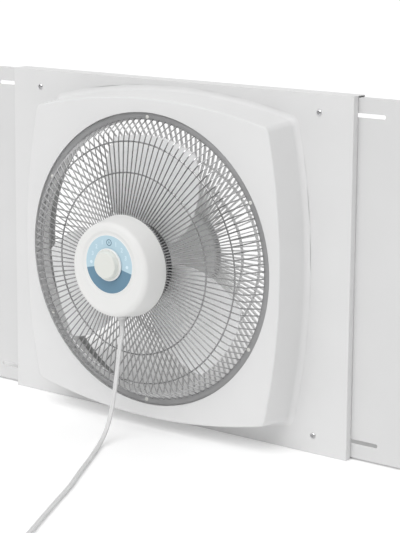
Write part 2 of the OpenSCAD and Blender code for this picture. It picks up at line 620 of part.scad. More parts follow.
// Coil: the loops spiral in on the floor, climb one layer and spiral out again
coil_max = coil_r + coil_turns*pitch;
coil_c = [coil_at[0] + coil_max, coil_at[1]];
function coil_pt(t) = let (r = coil_r + pitch*abs(t), a = 180 + 360*(t + coil_turns),
  h = low + pitch*min(max(2*t + 0.5, 0), 1)) [coil_c[0] + r*cos(a), coil_c[1] + r*sin(a), h];
coil_steps = 24;
coil_end = coil_turns + coil_out;
loops = [for (k = [0:round((coil_turns + coil_end)*coil_steps)]) coil_pt(-coil_turns + k/coil_steps)];
coil_last = loops[len(loops) - 1];
coil_path = concat([[coil_at[0], coil_at[1], low]],
  [for (k = [1:len(loops) - 2]) loops[k] - [0, k < 5 ? cord_d*(5 - k)/5 : 0, 0]],
  [coil_last, coil_last + [cord_d, 0, 0]]);
coil_clear = min([for (i = [0:len(coil_path) - 1], j = [i + coil_steps/2:1:len(coil_path) - 1])
  norm(coil_path[i] - coil_path[j])]) - cord_d;
echo(coil_least_gap = coil_clear);
module cord_coil() color("white") tube(coil_path, cord_r, 6);

// Lead from the coil to the plug, and the plug lying on the floor
plug_x = coil_last[0] + cord_d + lead_l;
plug_at = [plug_x, coil_last[1], coil_last[2]];
module plug_lead() color("white")
  tube([for (k = [0:4]) coil_last + [cord_d + lead_l*k/4, 0, 0]], cord_r, 8, [0, 1, 0]);
module plug_body() color("white") translate(plug_at) difference() {
  rotate([90, 0, 90]) {
    rotate_extrude($fn = 48) polygon([[0, 0], [cord_r + 0.8, 0], [cord_r + 2.6, boot_l], [0, boot_l]]);
    translate([0, 0, boot_l - eps]) linear_extrude(plug_l) rrect(plug_w, plug_h, 6);
  }
  for (y = [-6.35, 6.35]) translate([boot_l + plug_l - 8, y - 0.75, -3.15]) cube([9, 1.5, 6.3]);
}
module plug_blades() color("gold") translate(plug_at) for (y = [-6.35, 6.35])
  translate([boot_l + plug_l - 8, y - 0.75, -3.15]) difference() {
    cube([8 + 17, 1.5, 6.3]);
    translate([8 + 13, -1, 3.15]) rotate([-90, 0, 0]) cylinder(r = 1.6, h = 4, $fn = 24);
  }

main_panel();
bezel();
shroud();
front_guard();
guard_screws();
rear_guard();
rear_screws();
motor_housing();
motor_bolts();
stator();
windings();
front_bearing();
rear_bearing();
rotor_core();
motor_shaft();
fan_blade();
blade_nut();
hub_cover();
dial_plate();
rotary_switch();
capacitor();
control_knob();
switch_shaft();
corner_screws();
corner_spacers();
corner_nuts();
weld_stud();
left_side_panel();
right_side_panel();
strain_relief();
power_cord();
cord_coil();
plug_lead();
plug_body();
plug_blades();
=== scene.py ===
import json
import math

import bmesh
import bpy
from mathutils import Matrix, Vector


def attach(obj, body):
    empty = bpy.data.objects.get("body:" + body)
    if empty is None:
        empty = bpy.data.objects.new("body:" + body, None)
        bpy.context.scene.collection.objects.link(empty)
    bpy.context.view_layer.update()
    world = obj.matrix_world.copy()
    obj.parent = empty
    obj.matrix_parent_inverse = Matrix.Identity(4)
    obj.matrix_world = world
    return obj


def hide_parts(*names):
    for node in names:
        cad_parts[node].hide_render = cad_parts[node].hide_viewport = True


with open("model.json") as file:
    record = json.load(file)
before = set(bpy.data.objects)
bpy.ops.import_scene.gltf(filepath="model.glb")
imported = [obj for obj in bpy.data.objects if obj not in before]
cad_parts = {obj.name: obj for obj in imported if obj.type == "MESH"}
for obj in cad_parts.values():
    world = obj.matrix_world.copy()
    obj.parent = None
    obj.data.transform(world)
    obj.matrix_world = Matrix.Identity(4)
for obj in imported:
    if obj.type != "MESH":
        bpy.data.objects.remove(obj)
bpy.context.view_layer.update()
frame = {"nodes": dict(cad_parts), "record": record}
nodes = frame["nodes"]
scene = bpy.context.scene
print("frame loaded:", len(nodes), "nodes")

# The scene is in metres: x to the right, -y towards the room, z up.
# Turned pieces are drawn in millimetres as (radius, f), where f is the distance in front of the panel's face.
mm = 0.001
faceY = -0.016
axisZ = 0.2845
fanPlace = Matrix.Translation((0, faceY, axisZ)) @ Matrix.Rotation(math.pi / 2, 4, "X")


def placed(name, data):
    obj = bpy.data.objects.new(name, data)
    scene.collection.objects.link(obj)
    return obj


# ---- camera

cameraSet = {
    "place": (1.652735, -2.182298, 0.857917),
    "yaw": 0.634438,
    "pitch": -0.17253,
    "roll": 0.007349,
    "lens": 114.53,
    "shiftY": -0.135,
    "clipStart": 0.05,
}


def makeCamera(s):
    data = bpy.data.cameras.new("camera")
    data.lens = s["lens"]
    data.shift_y = s["shiftY"]
    data.clip_start = s["clipStart"]
    camera = placed("camera", data)
    turn = (Matrix.Rotation(s["yaw"], 4, "Z")
            @ Matrix.Rotation(math.pi / 2 + s["pitch"], 4, "X")
            @ Matrix.Rotation(s["roll"], 4, "Z"))
    camera.matrix_world = Matrix.Translation(s["place"]) @ turn
    scene.camera = camera


makeCamera(cameraSet)
scene.view_settings.view_transform = "Standard"
print("camera placed")

# ---- small steps that the world and the materials are built from


def feed(tree, socket, value):
    # another node's output is linked, a number or a colour is set
    if hasattr(value, "links"):
        tree.links.new(value, socket)
    else:
        socket.default_value = value


def calc(tree, kind, *values, clamp=False):
    step = tree.nodes.new("ShaderNodeMath")
    step.operation = kind
    step.use_clamp = clamp
    for socket, value in zip(step.inputs, values):
        feed(tree, socket, value)
    return step.outputs[0]


def ramp(tree, value, start, end, low, high):
    step = tree.nodes.new("ShaderNodeMapRange")
    for name, number in (("From Min", start), ("From Max", end), ("To Min", low), ("To Max", high)):
        step.inputs[name].default_value = number
    tree.links.new(value, step.inputs["Value"])
    return step.outputs["Result"]


def mixed(tree, share, low, high):
    mix = tree.nodes.new("ShaderNodeMix")
    mix.data_type = "RGBA"
    tree.links.new(share, mix.inputs[0])
    feed(tree, mix.inputs[6], low)
    feed(tree, mix.inputs[7], high)
    return mix.outputs[2]


def axesOf(tree, kind):
    coords = tree.nodes.new("ShaderNodeTexCoord")
    parts = tree.nodes.new("ShaderNodeSeparateXYZ")
    tree.links.new(coords.outputs[kind], parts.inputs[0])
    return parts.outputs


def seenRays(tree):
    rays = tree.nodes.new("ShaderNodeLightPath").outputs
    return rays["Is Camera Ray"], calc(tree, "MAXIMUM", rays["Is Glossy Ray"], rays["Is Transmission Ray"])


# ---- world and key lamp; a ramp is given as start, end, level at the start, level at the end

lightSet = {
    "sky": 0.53,
    "rightFade": (0, 0.9),
    "rightDim": 0.55,
    "topLift": 0.29,
    "behind": (-0.25, 0.1, 0.15, 1),
    "above": (0.45, 0.8, 0, 1),
    "keyFrom": (0.35, -2.9, 3.9),
    "keyAngle": 50,
    "keyStrength": 1.25,
}


def makeWorld(s):
    # white to the camera; in reflections white behind and above the fan and dim towards the room;
    # for the light on surfaces a soft sky, dimmer from the right and brighter from above
    world = bpy.data.worlds.new("studio")
    scene.world = world
    world.use_nodes = True
    tree = world.node_tree
    tree.nodes.clear()
    out = tree.nodes.new("ShaderNodeOutputWorld")
    camera, mirrored = seenRays(tree)
    towards = axesOf(tree, "Generated")
    above = ramp(tree, towards["Z"], *s["above"])
    room = calc(tree, "MAXIMUM", ramp(tree, towards["Y"], *s["behind"]), above)
    shown = calc(tree, "MAXIMUM", camera, calc(tree, "MULTIPLY", mirrored, room))
    side = ramp(tree, towards["X"], *s["rightFade"], s["sky"], s["sky"] * s["rightDim"])
    soft = calc(tree, "ADD", side, calc(tree, "MULTIPLY", above, s["topLift"]))
    unseen = calc(tree, "SUBTRACT", 1, calc(tree, "MAXIMUM", camera, mirrored))
    level = calc(tree, "ADD", shown, calc(tree, "MULTIPLY", unseen, soft))
    glow = tree.nodes.new("ShaderNodeBackground")
    glow.inputs["Color"].default_value = (1, 1, 1, 1)
    tree.links.new(level, glow.inputs["Strength"])
    tree.links.new(glow.outputs[0], out.inputs["Surface"])


def makeKey(s):
    data = bpy.data.lights.new("key", "SUN")
    data.angle = math.radians(s["keyAngle"])
    data.energy = s["keyStrength"]
    lamp = placed("key", data)
    lamp.location = s["keyFrom"]
    lamp.rotation_euler = (-Vector(s["keyFrom"])).to_track_quat("-Z", "Y").to_euler()


makeWorld(lightSet)
makeKey(lightSet)
print("world and lamp made")

# ---- floor, with a soft shade painted into its colour behind the fan

floorSet = {
    "size": 60,
    "white": 0.96,
    "glow": 0.14,        # added where the camera or a reflection sees the floor
    "lift": 0.16,        # added to the light that the floor throws up
    "mirrorDim": 0.55,   # how much darker the floor is in reflections
    "shade": 0.5,        # how dark the painted shade is in full, with its ramps from front to back and to the sides
    "shadeFrom": (0, 0.03, 0, 1),
    "shadeTo": (0.15, 0.7, 1, 0),
    "shadeSides": (0.36, 0.5, 1, 0),
}


# painted shade: the floor's colour is made darker behind the fan, fading towards the back and the sides
def floorShade(tree, s):
    at = axesOf(tree, "Object")
    depth = calc(tree, "MULTIPLY", ramp(tree, at["Y"], *s["shadeFrom"]), ramp(tree, at["Y"], *s["shadeTo"]))
    width = ramp(tree, calc(tree, "ABSOLUTE", at["X"]), *s["shadeSides"])
    return calc(tree, "MULTIPLY", calc(tree, "MULTIPLY", depth, width), s["shade"])


def makeFloor(s):
    bpy.ops.object.select_all(action="DESELECT")
    bpy.ops.mesh.primitive_plane_add(size=s["size"], location=(0, 0, 0))
    floor = bpy.context.object
    floor.name = "floor"
    bpy.ops.object.transform_apply(location=True)
    mat = bpy.data.materials.new("floorWhite")
    mat.use_nodes = True
    tree = mat.node_tree
    tree.nodes.clear()
    out = tree.nodes.new("ShaderNodeOutputMaterial")
    camera, mirrored = seenRays(tree)
    matt = tree.nodes.new("ShaderNodeBsdfDiffuse")
    # the colour is darker in reflections, and darker again where the painted shade lies behind the fan
    dim = calc(tree, "ADD", calc(tree, "MULTIPLY", mirrored, s["mirrorDim"]), floorShade(tree, s))
    tree.links.new(calc(tree, "SUBTRACT", s["white"], dim, clamp=True), matt.inputs["Color"])
    glow = tree.nodes.new("ShaderNodeEmission")
    seen = calc(tree, "MAXIMUM", camera, mirrored)
    thrown = calc(tree, "MULTIPLY", calc(tree, "SUBTRACT", 1, seen), s["lift"])
    level = calc(tree, "ADD", calc(tree, "MULTIPLY", seen, s["glow"]), thrown)
    tree.links.new(level, glow.inputs["Strength"])
    both = tree.nodes.new("ShaderNodeAddShader")
    tree.links.new(matt.outputs[0], both.inputs[0])
    tree.links.new(glow.outputs[0], both.inputs[1])
    tree.links.new(both.outputs[0], out.inputs["Surface"])
    floor.data.materials.append(mat)


makeFloor(floorSet)
print("floor made")

# ---- materials

noiseSpan = (0.3, 0.7)  # where most of a noise's values lie
plainFinish = {
    "patchy": 0.02,       # how much the colour varies, and at which scale
    "patchScale": 9,
    "patchDetail": 3,
    "roughVary": 0.05,
    "roughScale": 60,
    "roughDetail": 4,
    "metal": 0,
    "gloss": 0.4,
    "grain": 0.1,
    "grainScale": 900,
    "grainDetail": 2,
    "grainDepth": 0.0003,
    "brushed": 0,         # brushed in circles round the fan's axis
    "sheets": 0,          # a stack of punched sheets, seen from the edge
    "sheetGap": 0.45,
}


def noise(tree, at, scale, detail):
    step = tree.nodes.new("ShaderNodeTexNoise")
    step.inputs["Scale"].default_value = scale
    step.inputs["Detail"].default_value = detail
    tree.links.new(at, step.inputs["Vector"])
    return step.outputs["Fac"]


def dimmed(colour, by):
    return (*(min(1, x * by) for x in colour), 1)


def makeMaterial(name, given):
    s = {**plainFinish, **given}
    mat = bpy.data.materials.new(name)
    mat.use_nodes = True
    tree = mat.node_tree
    shader = tree.nodes["Principled BSDF"]
    at = tree.nodes.new("ShaderNodeTexCoord").outputs["Object"]
    patches = ramp(tree, noise(tree, at, s["patchScale"], s["patchDetail"]), *noiseSpan, 0, 1)
    colour = mixed(tree, patches, dimmed(s["colour"], 1 - s["patchy"]), dimmed(s["colour"], 1 + s["patchy"]))
    if s["sheets"]:
        stack = tree.nodes.new("ShaderNodeTexWave")
        stack.bands_direction = "Y"
        stack.inputs["Scale"].default_value = s["sheets"]
        tree.links.new(at, stack.inputs["Vector"])
        colour = mixed(tree, stack.outputs["Fac"], dimmed(s["colour"], s["sheetGap"]), dimmed(s["colour"], 1))
    tree.links.new(colour, shader.inputs["Base Color"])
    low, high = s["rough"] - s["roughVary"], s["rough"] + s["roughVary"]
    rough = ramp(tree, noise(tree, at, s["roughScale"], s["roughDetail"]), *noiseSpan, low, high)
    tree.links.new(rough, shader.inputs["Roughness"])
    shader.inputs["Metallic"].default_value = s["metal"]
    shader.inputs["Specular IOR Level"].default_value = s["gloss"]
    bump = tree.nodes.new("ShaderNodeBump")
    bump.inputs["Strength"].default_value = s["grain"]
    bump.inputs["Distance"].default_value = s["grainDepth"]
    tree.links.new(noise(tree, at, s["grainScale"], s["grainDetail"]), bump.inputs["Height"])
    tree.links.new(bump.outputs["Normal"], shader.inputs["Normal"])
    if s["brushed"]:
        outwards = tree.nodes.new("ShaderNodeVectorMath")
        outwards.operation = "SUBTRACT"
        tree.links.new(at, outwards.inputs[0])
        outwards.inputs[1].default_value = (0, 0, axisZ)
        tree.links.new(outwards.outputs[0], shader.inputs["Tangent"])
        shader.inputs["Anisotropic"].default_value = s["brushed"]
    return mat


finishes = {
    "sheetWhite": {"colour": (0.745, 0.745, 0.745), "rough": 0.42, "grain": 0.08, "patchy": 0.012},
    "bezelWhite": {"colour": (0.77, 0.77, 0.77), "rough": 0.45, "grain": 0.06, "patchy": 0.012},
    "shroudGray": {"colour": (0.82, 0.82, 0.82), "rough": 0.5, "grain": 0.15},
    "guardWire": {"colour": (0.58, 0.58, 0.585), "rough": 0.22, "metal": 1, "patchy": 0.06, "patchScale": 60},
    "guardBand": {"colour": (0.46, 0.46, 0.465), "rough": 0.4, "metal": 0.5, "brushed": 0.9, "patchy": 0.04,
                  "patchScale": 40},
    "grilleWhite": {"colour": (0.84, 0.84, 0.84), "rough": 0.45, "grain": 0.12},
    "screwIvory": {"colour": (0.80, 0.80, 0.77), "rough": 0.4, "patchy": 0.05, "patchScale": 300},
    "screwSteel": {"colour": (0.85, 0.85, 0.86), "rough": 0.3, "metal": 1, "patchy": 0.12, "patchScale": 250,
                   "roughScale": 500, "roughVary": 0.1},
    "motorBlack": {"colour": (0.012, 0.012, 0.013), "rough": 0.4, "patchy": 0.2, "grain": 0.25,
                   "grainScale": 1200},
    "lamination": {"colour": (0.20, 0.20, 0.21), "rough": 0.4, "metal": 1, "sheets": 320},
    "copperWire": {"colour": (0.50, 0.20, 0.08), "rough": 0.35, "metal": 1, "patchy": 0.15,
                   "patchScale": 200},
    "bronze": {"colour": (0.50, 0.35, 0.15), "rough": 0.4, "metal": 1, "patchy": 0.15, "patchScale": 600},
    "bladeGray": {"colour": (0.91, 0.91, 0.915), "rough": 0.4, "grain": 0.1},
    "hubWhite": {"colour": (0.81, 0.81, 0.80), "rough": 0.4, "patchy": 0.01},
    "dialBlue": {"colour": (0.49, 0.66, 0.75), "rough": 0.35, "patchy": 0.01},
    "printPale": {"colour": (0.70, 0.84, 0.92), "rough": 0.4},
    "printDark": {"colour": (0.10, 0.19, 0.28), "rough": 0.4},
    "switchGray": {"colour": (0.08, 0.08, 0.08), "rough": 0.5, "patchy": 0.1},
    "capacitorBlack": {"colour": (0.02, 0.02, 0.02), "rough": 0.5, "patchy": 0.2},
    "knobIvory": {"colour": (0.76, 0.77, 0.73), "rough": 0.35, "patchy": 0.01},
    "spacerWhite": {"colour": (0.78, 0.78, 0.78), "rough": 0.5},
    "sideWhite": {"colour": (0.70, 0.70, 0.70), "rough": 0.45, "grain": 0.1, "patchy": 0.012},
    "cordWhite": {"colour": (0.73, 0.73, 0.73), "rough": 0.55, "grain": 0.2, "grainScale": 700},
    "plugWhite": {"colour": (0.78, 0.78, 0.77), "rough": 0.5},
    "plugBrass": {"colour": (0.78, 0.60, 0.30), "rough": 0.3, "metal": 1, "patchy": 0.08, "patchScale": 200},
}
materials = {name: makeMaterial(name, s) for name, s in finishes.items()}

# ---- the dial's two blues and white edge ring, and the knob's bright skirt

dial = {
    "middleUp": 0.0088,
    "darkTilt": 0.2217,
    "darkColour": (0.145, 0.268, 0.37, 1),
    "edgeFrom": 0.0461,
    "edgeColour": (0.86, 0.87, 0.87, 1),
    "skirtFrom": 0.0247,
}


def aroundDial(tree):
    # sideways and upwards from the dial's middle, and the distance from it
    at = axesOf(tree, "Object")
    side = at["X"]
    up = calc(tree, "SUBTRACT", at["Z"], axisZ + dial["middleUp"])
    squares = calc(tree, "ADD", calc(tree, "MULTIPLY", side, side), calc(tree, "MULTIPLY", up, up))
    return side, up, calc(tree, "POWER", squares, 0.5)


def paintOver(tree, mask, colour):
    socket = tree.nodes["Principled BSDF"].inputs["Base Color"]
    tree.links.new(mixed(tree, mask, socket.links[0].from_socket, colour), socket)


def printDial(s):
    tree = materials["dialBlue"].node_tree
    side, up, far = aroundDial(tree)
    slope = calc(tree, "MULTIPLY", calc(tree, "ABSOLUTE", side), -s["darkTilt"])
    paintOver(tree, calc(tree, "LESS_THAN", up, slope), s["darkColour"])
    paintOver(tree, calc(tree, "GREATER_THAN", far, s["edgeFrom"]), s["edgeColour"])


def printKnob(s):
    tree = materials["knobIvory"].node_tree
    far = aroundDial(tree)[2]
    paintOver(tree, calc(tree, "GREATER_THAN", far, s["skirtFrom"]), s["edgeColour"])


printDial(dial)
printKnob(dial)


def camel(slot):
    head, *rest = slot.split("_")
    return head + "".join(word.capitalize() for word in rest)


for sub in frame["record"]["subparts"]:
    obj = nodes[sub["node"]]
    obj.data.materials.clear()
    obj.data.materials.append(materials[camel(sub["material_slot"])])
print("materials made:", len(materials))

# ---- modelling steps

mergeWithin = {"cad": 0.00001, "turned": 0.000005}
flatWithin = math.radians(0.5)
foldFrom = 0.1  # a fold turns by more than this, in radians


def calm():
    if bpy.context.mode != "OBJECT":
        bpy.ops.object.mode_set(mode="OBJECT")
    bpy.ops.object.select_all(action="DESELECT")


def pick(obj):
    calm()
    obj.select_set(True)
    bpy.context.view_layer.objects.active = obj


def modify(obj, name, kind, **settings):
    pick(obj)
    modifier = obj.modifiers.new(name, kind)
    for key, value in settings.items():
        setattr(modifier, key, value)
    bpy.ops.object.modifier_apply(modifier=modifier.name)


def smooth(obj, degrees):
    pick(obj)
    bpy.ops.object.shade_smooth_by_angle(angle=math.radians(degrees))


def settle(obj, slot, body, *replaced, finish=None):
    calm()
    obj.data.materials.clear()
    obj.data.materials.append(materials[finish or camel(slot)])
    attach(obj, body)
    if replaced:
        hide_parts(*replaced)


def roundWhere(obj, isOnFold, width, segments):
    # rounds the edges whose two ends both lie on a fold or corner
    pick(obj)
    bpy.ops.object.mode_set(mode="EDIT")
    bpy.ops.mesh.select_mode(type="EDGE")
    bpy.ops.mesh.select_all(action="DESELECT")
    bm = bmesh.from_edit_mesh(obj.data)
    for edge in bm.edges:
        edge.select = all(isOnFold(v.co) for v in edge.verts) and edge.calc_face_angle(0) > foldFrom
    bmesh.update_edit_mesh(obj.data)
    bpy.ops.mesh.bevel(offset=width, segments=segments, clamp_overlap=False)
    bpy.ops.mesh.select_mode(type="VERT")
    bpy.ops.object.mode_set(mode="OBJECT")


def softCopy(node, name, width, segments, degrees, fold=None):
    # a copy of a CAD mesh, merged, with its own folds rounded and its edges eased
    obj = placed(name, nodes[node].data.copy())
    pick(obj)
    bpy.ops.object.mode_set(mode="EDIT")
    bpy.ops.mesh.select_all(action="SELECT")
    bpy.ops.mesh.remove_doubles(threshold=mergeWithin["cad"])
    bpy.ops.mesh.mark_sharp(clear=True)
    bpy.ops.mesh.dissolve_limited(angle_limit=flatWithin)
    bpy.ops.object.mode_set(mode="OBJECT")
    bpy.ops.mesh.customdata_custom_splitnormals_clear()  # the CAD mesh brings normals of its own
    if fold:
        roundWhere(obj, *fold)
    if width:
        modify(obj, "edges", "BEVEL", width=width, segments=segments, limit_method="ANGLE",
               angle_limit=math.radians(degrees), use_clamp_overlap=False, harden_normals=False)
    smooth(obj, degrees)
    modify(obj, "normals", "WEIGHTED_NORMAL", mode="FACE_AREA", weight=100, keep_sharp=True)
    return obj


def drawn(name, points):
    # a line of vertices, left open in edit mode
    calm()
    bpy.ops.mesh.primitive_plane_add(size=2 * mm, location=points[0])
    obj = bpy.context.object
    obj.name = name
    bpy.ops.object.transform_apply(location=True)
    bpy.ops.object.mode_set(mode="EDIT")
    bpy.ops.mesh.merge(type="CENTER")
    for a, b in zip(points, points[1:]):
        bpy.ops.mesh.extrude_region_move(TRANSFORM_OT_translate={"value": b - a})
    return obj


def turned(name, profile, steps):
    obj = drawn(name, [Vector((r * mm, 0, f * mm)) for r, f in profile])
    bpy.ops.mesh.select_all(action="SELECT")
    bpy.ops.mesh.spin(steps=steps, angle=2 * math.pi, center=(0, 0, 0), axis=(0, 0, 1))
    bpy.ops.mesh.select_all(action="SELECT")
    bpy.ops.mesh.remove_doubles(threshold=mergeWithin["turned"])
    bpy.ops.mesh.normals_make_consistent(inside=False)
    bpy.ops.object.mode_set(mode="OBJECT")
    return obj


def joined(name, parts):
    pick(parts[0])
    for part in parts:
        part.select_set(True)
    if len(parts) > 1:
        bpy.ops.object.join()
    parts[0].name = name
    return parts[0]


def repeated(obj, moves):
    # one copy with its own mesh for each move; the first is taken away
    parts = []
    for move in moves:
        part = placed(obj.name, obj.data.copy())
        part.data.transform(move)
        parts.append(part)
    bpy.data.objects.remove(obj)
    return joined(parts[0].name, parts)


def allRound(obj, count, start=0):
    return repeated(obj, [Matrix.Rotation(2 * math.pi * i / count + start, 4, "Z") for i in range(count)])


def rounded(points, radii, steps):
    # the line with an arc at each of its inner points
    out = [points[0]]
    for a, b, c, r in zip(points, points[1:], points[2:], radii):
        u, v = (a - b).normalized(), (c - b).normalized()
        half = u.angle(v) / 2
        cut = r / math.tan(half)
        middle = b + (u + v).normalized() * (r / math.sin(half))
        first, last = b + u * cut - middle, b + v * cut - middle
        for k in range(steps + 1):
            out.append(middle + r * first.slerp(last, k / steps, first))
    return out + [points[-1]]


def wire(name, points, thick, rings):
    data = bpy.data.curves.new(name, "CURVE")
    data.dimensions = "3D"
    line = data.splines.new("POLY")
    line.points.add(len(points) - 1)
    for point, at in zip(line.points, points):
        point.co = (*at, 1)
    data.bevel_depth = thick / 2
    data.bevel_resolution = rings
    data.use_fill_caps = True
    obj = placed(name, data)
    pick(obj)
    bpy.ops.object.convert(target="MESH")
    return obj


def roundSection(r, f, thick, sides):
    turn = [2 * math.pi * k / sides for k in range(sides + 1)]
    return [(r + thick / 2 * math.cos(a), f + thick / 2 * math.sin(a)) for a in turn]


def flatSection(r0, r1, f0, f1, ease):
    # a flat ring's section with eased corners
    return [(r0, f0 + ease), (r0 + ease, f0), (r1 - ease, f0), (r1, f0 + ease), (r1, f1 - ease),
            (r1 - ease, f1), (r0 + ease, f1), (r0, f1 - ease), (r0, f0 + ease)]


# ---- cord: one flat lead of two cores from the hub to the coil and the plug

cordSet = {
    "width": 0.0078,
    "thick": 0.0046,
    "groove": 0.62,         # the groove's floor between the cores, as a share of half the thickness
    "exitZ": 0.1895,
    "ahead": 0.1275,
    "straight": 0.014,      # straight out of the strain relief
    "low": 0.00425,
    "coreTurn": 125,        # how far round, to each side, a core's outline goes, and its step, in degrees
    "coreStep": 25,
    "finer": 4,             # points on the curve for each point of the route
    "pitch": 0.008,
    "coilRadius": 0.025,
    "coilTurns": 3,
    "coilOut": 0.25,
    "coilSteps": 36,
    "climbTurns": 0.5,      # how much of a turn the climb to the second layer takes
    "bendIn": 0.007,        # how the lead's end bends into the coil, and over how many steps
    "bendSteps": 7.5,
    "leadLength": 0.05,
    "leadSteps": 6,
    "flatFrom": 0.25,       # from which slope on, and how soon, the lead turns flat to the floor
    "flatOver": 0.6,
    "flatShare": 0.25,
}
# x and y from the exit in millimetres, and the share of the exit's height
fall = [(-3, -0.5, 0.834), (-5.5, -2.5, 0.686), (-8.5, -4.5, 0.52), (-11.5, -8, 0.345), (-11.5, -14.5, 0.228),
        (-9.5, -25, 0.142), (-6.5, -38.5, 0.072), (-1, -55, 0.034)]
way = [(7.5, -73), (18, -93.5), (30, -117), (57, -172), (86, -229), (111, -286), (136, -342), (161, -397),
       (179, -437), (189.5, -464), (194.5, -482), (196, -494)]


def curveThrough(points, finer):
    # a smooth curve through all points but the last, where the coil begins
    out = []
    for i in range(len(points) - 1):
        a, b, c, d = points[max(i - 1, 0)], points[i], points[i + 1], points[min(i + 2, len(points) - 1)]
        for k in range(finer):
            t = k / finer
            out.append(0.5 * (2 * b + (c - a) * t + (2 * a - 5 * b + 4 * c - d) * t * t
                              + (3 * b - a - 3 * c + d) * t * t * t))
    return out


def coilFrom(start, s):
    # the loops spiral in on the floor, climb one layer and spiral out again
    centre = start + Vector((s["coilRadius"] + s["coilTurns"] * s["pitch"], 0, 0))
    out = []
    for k in range(round((2 * s["coilTurns"] + s["coilOut"]) * s["coilSteps"]) + 1):
        t = k / s["coilSteps"] - s["coilTurns"]
        r = s["coilRadius"] + s["pitch"] * abs(t)
        a = math.pi + 2 * math.pi * k / s["coilSteps"]
        z = s["low"] + s["pitch"] * min(max(t / s["climbTurns"] + 0.5, 0), 1)
        bend = s["bendIn"] * max(0, 1 - k / s["bendSteps"]) if k else 0
        out.append(Vector((centre.x + r * math.cos(a), centre.y + r * math.sin(a) - bend, z)))
    return out


def cordRoute(s):
    y = faceY - s["ahead"]
    top = s["exitZ"]
    route = [Vector((0, y, top)), Vector((0, y, top - s["straight"]))]
    route += [Vector((a * mm, y + b * mm, top * c)) for a, b, c in fall]
    route += [Vector((a * mm, y + b * mm, s["low"])) for a, b in way]
    coil = coilFrom(route[-1], s)
    lead = [coil[-1] + Vector((s["bendIn"] + s["leadLength"] * k / s["leadSteps"], 0, 0))
            for k in range(s["leadSteps"] + 1)]
    return curveThrough(route, s["finer"]) + coil + lead


def tangentAt(path, i):
    return (path[min(i + 1, len(path) - 1)] - path[max(i - 1, 0)]).normalized()


def twinSection(s):
    # two round cores side by side with a groove above and below
    r = s["thick"] / 2
    off = s["width"] / 2 - r
    turn = [math.radians(degrees) for degrees in range(-s["coreTurn"], s["coreTurn"] + 1, s["coreStep"])]
    side = [(off + r * math.cos(a), r * math.sin(a)) for a in turn]
    other = [(-x, y) for x, y in reversed(side)]
    return side + [(0, r * s["groove"])] + other + [(0, -r * s["groove"])]


def sweepFlat(name, path, section, s):
    # where the lead runs level, the section's wide side turns flat to the floor
    bm = bmesh.new()
    across = Vector((1, 0, 0))
    rings = []
    for i, p in enumerate(path):
        t = tangentAt(path, i)
        flat = Vector((0, 0, 1)).cross(t)
        if flat.length > s["flatFrom"]:
            share = s["flatShare"] * min(1, (flat.length - s["flatFrom"]) / s["flatOver"])
            if flat.dot(across) < 0:
                flat.negate()
            across = across * (1 - share) + flat.normalized() * share
        across = (across - across.dot(t) * t).normalized()
        up = t.cross(across)
        rings.append([bm.verts.new(p + across * a + up * b) for a, b in section])
    n = len(section)
    for a, b in zip(rings, rings[1:]):
        for k in range(n):
            bm.faces.new((a[k], a[(k + 1) % n], b[(k + 1) % n], b[k]))
    bm.faces.new(list(reversed(rings[0])))
    bm.faces.new(rings[-1])
    bmesh.ops.recalc_face_normals(bm, faces=bm.faces)
    mesh = bpy.data.meshes.new(name)
    bm.to_mesh(mesh)
    bm.free()
    mesh.shade_smooth()
    return placed(name, mesh)


plugEdge = {"width": 0.0012, "segments": 3, "degrees": 40}
plugGrip = softCopy("plug_body", "plugGrip", **plugEdge)
settle(plugGrip, "plug_white", "fan_frame", "plug_body")
cordPath = cordRoute(cordSet)
cord = sweepFlat("leadCord", cordPath, twinSection(cordSet), cordSet)
settle(cord, "cord_white", "fan_frame", "power_cord", "cord_coil", "plug_lead")

# ---- front guard: bent wires on two rings and the motor plate, and the flat rim band

guard = {
    "wires": 120,
    "wire": 2.1,
    "line": [(66, 118), (84, 118), (147, 105), (196, 97.8), (212.6, 92.5), (229.6, 61.9)],
    "bends": [20, 30, 20, 7],
    "bendSteps": 2,
    "wireRings": 1,
    "ring": 2.6,
    "ringSides": 8,
    "rings": [(147, 102.7), (196, 95.5)],
    "plate": (45, 81.5, 115.3, 117.2, 0.5),
    "band": (227.5, 239.2, 61.5, 63.1, 0.5),
    "steps": 180,
    "plateSteps": 96,
    "smooth": 50,
}


def makeFrontGuard(s):
    bent = rounded([Vector((r, 0, f)) for r, f in s["line"]], s["bends"], s["bendSteps"])
    one = wire("guardWire", [p * mm for p in bent], s["wire"] * mm, s["wireRings"])
    parts = [allRound(one, s["wires"])]
    for r, f in s["rings"]:
        parts.append(turned("guardRing", roundSection(r, f, s["ring"], s["ringSides"]), s["steps"]))
    parts.append(turned("motorPlate", flatSection(*s["plate"]), s["plateSteps"]))
    frontGuard = joined("frontGuard", parts)
    band = turned("guardBand", flatSection(*s["band"]), s["steps"])
    for obj, finish in ((frontGuard, "guardWire"), (band, "guardBand")):
        obj.data.transform(fanPlace)
        smooth(obj, s["smooth"])
        settle(obj, "guard_wire", "fan_frame", "front_guard", finish=finish)


makeFrontGuard(guard)
print("front guard made")

# ---- rear guard: deep moulded ribs that run flat and turn forward to the rim, two rings and a middle plate

rearGuard = {
    "ribs": 120,
    "start": 45,
    "thick": 2.0,
    "taper": 0.3,
    "taperAngle": 40,
    "line": [(72, -24.5), (160, -24.5), (255.5, -2), (262, -2), (160, -31), (72, -31)],
    "rings": [124, 157],
    "ringFaces": (-30.7, -24.8),
    "plate": [(0, -30.7), (79.4, -30.7), (80, -30.1), (80, -28.9), (79.6, -28.5), (0, -28.5)],
    "rim": (254, 265.7, -2.8, -1.2, 0.4),
    "steps": 180,
    "plateSteps": 96,
    "smooth": 50,
}


